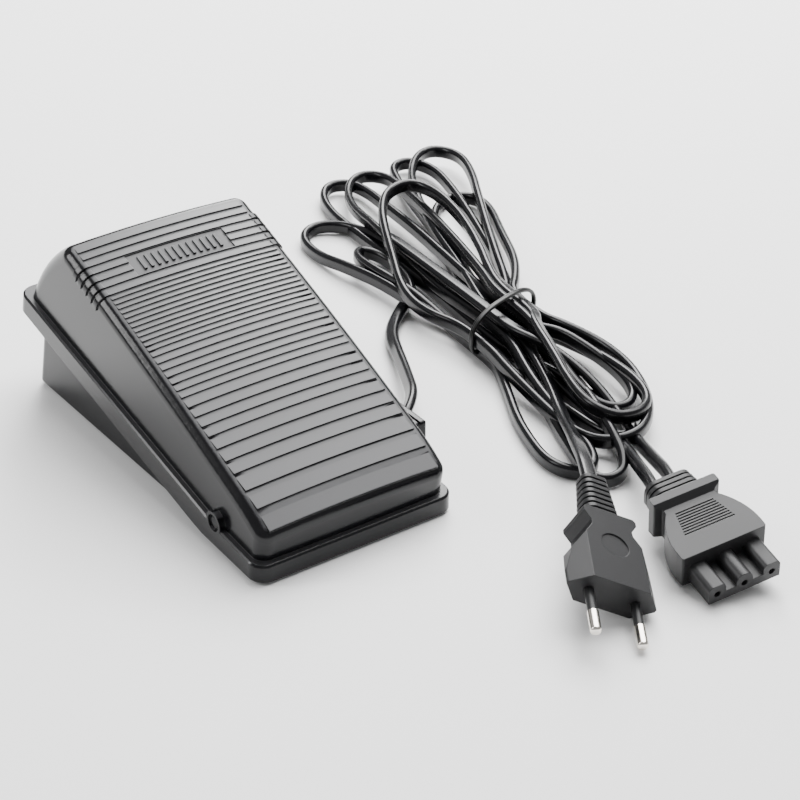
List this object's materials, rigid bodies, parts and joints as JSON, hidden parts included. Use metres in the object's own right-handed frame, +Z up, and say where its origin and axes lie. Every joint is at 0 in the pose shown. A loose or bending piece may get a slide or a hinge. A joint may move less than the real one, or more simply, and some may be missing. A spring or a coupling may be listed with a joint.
{
  "type": "foot speed controller",
  "caption": "Wedge-shaped foot pedal with a ribbed hinged treadle over a floor tub, its flat lead bundled in a tied hank, with a mains plug and a machine connector.",
  "frame": {"origin": "floor level, under the middle of the pedal's own bounding box (its cord, plug and connector left out)", "axes": "+Y from the low toe end to the high heel end, +X to the right as seen from the toe end, +Z up"},
  "size_m": [0.2665, 0.362, 0.0762],
  "materials": {
    "gloss_black": "polished",
    "satin_black": "satin",
    "plug_black": "satin",
    "cord_black": "smooth flexible vinyl",
    "foot_rubber": "matte",
    "pin_steel": "turned",
    "spring_steel": "drawn wire",
    "nickel": "nickel plated brass",
    "brass": "bright",
    "board_green": "solder mask",
    "heat_sink_alu": "extruded",
    "part_black": "moulded",
    "ferrite": "painted powder core",
    "enamel_copper": "enamelled wire",
    "film_blue": "dipped",
    "film_yellow": "moulded",
    "resistor_tan": "lacquered",
    "nylon_white": "natural",
    "fuse_glass": "clear tube",
    "wire_brown": "vinyl",
    "wire_blue": "vinyl"
  },
  "bodies": {
    "base": {"base_tub": "satin_black", "rubber_feet": "foot_rubber", "hinge_pin": "pin_steel", "return_springs": "spring_steel", "slide_pot": "part_black", "pot_terminals": "nickel", "pot_bracket": "pin_steel", "bracket_screws": "pin_steel", "plunger_spring": "spring_steel", "circuit_board": "board_green", "board_screws": "pin_steel", "heat_sink": "heat_sink_alu", "triac": "part_black", "triac_screw": "pin_steel", "choke_core": "ferrite", "choke_winding": "enamel_copper", "suppressor_capacitor": "film_yellow", "timing_capacitor": "film_blue", "electrolytic_capacitor": "part_black", "resistors": "resistor_tan", "trigger_diode": "film_blue", "trimmer": "film_blue", "fuse": "fuse_glass", "fuse_clips": "nickel", "terminal_block": "nylon_white", "terminal_screws": "brass", "cord_gland": "satin_black", "cord_tail": "cord_black", "cord_wires": "wire_brown", "board_wires": "wire_blue", "pot_wires": "wire_brown", "cord_clamp": "nylon_white", "clamp_screws": "pin_steel", "pedal_lead": "cord_black", "plug_lead": "cord_black", "connector_lead_a": "cord_black", "connector_lead_b": "cord_black", "cord_hank": "cord_black", "cord_tie": "satin_black", "plug_body": "plug_black", "plug_boot": "plug_black", "plug_pins": "nickel", "pin_sleeves": "part_black", "connector_body": "plug_black", "connector_boot": "plug_black", "connector_contacts": "brass"},
    "treadle": {"treadle_cover": "gloss_black"},
    "plunger_body": {"plunger": "nylon_white"}
  },
  "joints": [
    {"name": "treadle_hinge", "type": "hinge", "parent": "base", "child": "treadle", "pos_m": [0, -0.0585, 0.0121], "axis": [-1, 0, 0], "range_deg": [0, 4.5], "stiffness_Nm_per_rad": 12, "springref_deg": -4.58, "deforming": ["return_springs"]},
    {"name": "plunger_slide", "type": "slide", "parent": "base", "child": "plunger_body", "axis": [0, 0, -1], "range_m": [0, 0.0083], "stiffness_N_per_m": 200, "springref_m": -0.003, "deforming": ["plunger_spring"]}
  ],
  "couplings": [
    {"joint": "plunger_slide", "follows": "treadle_hinge", "m_per_rad": 0.1037}
  ]
}
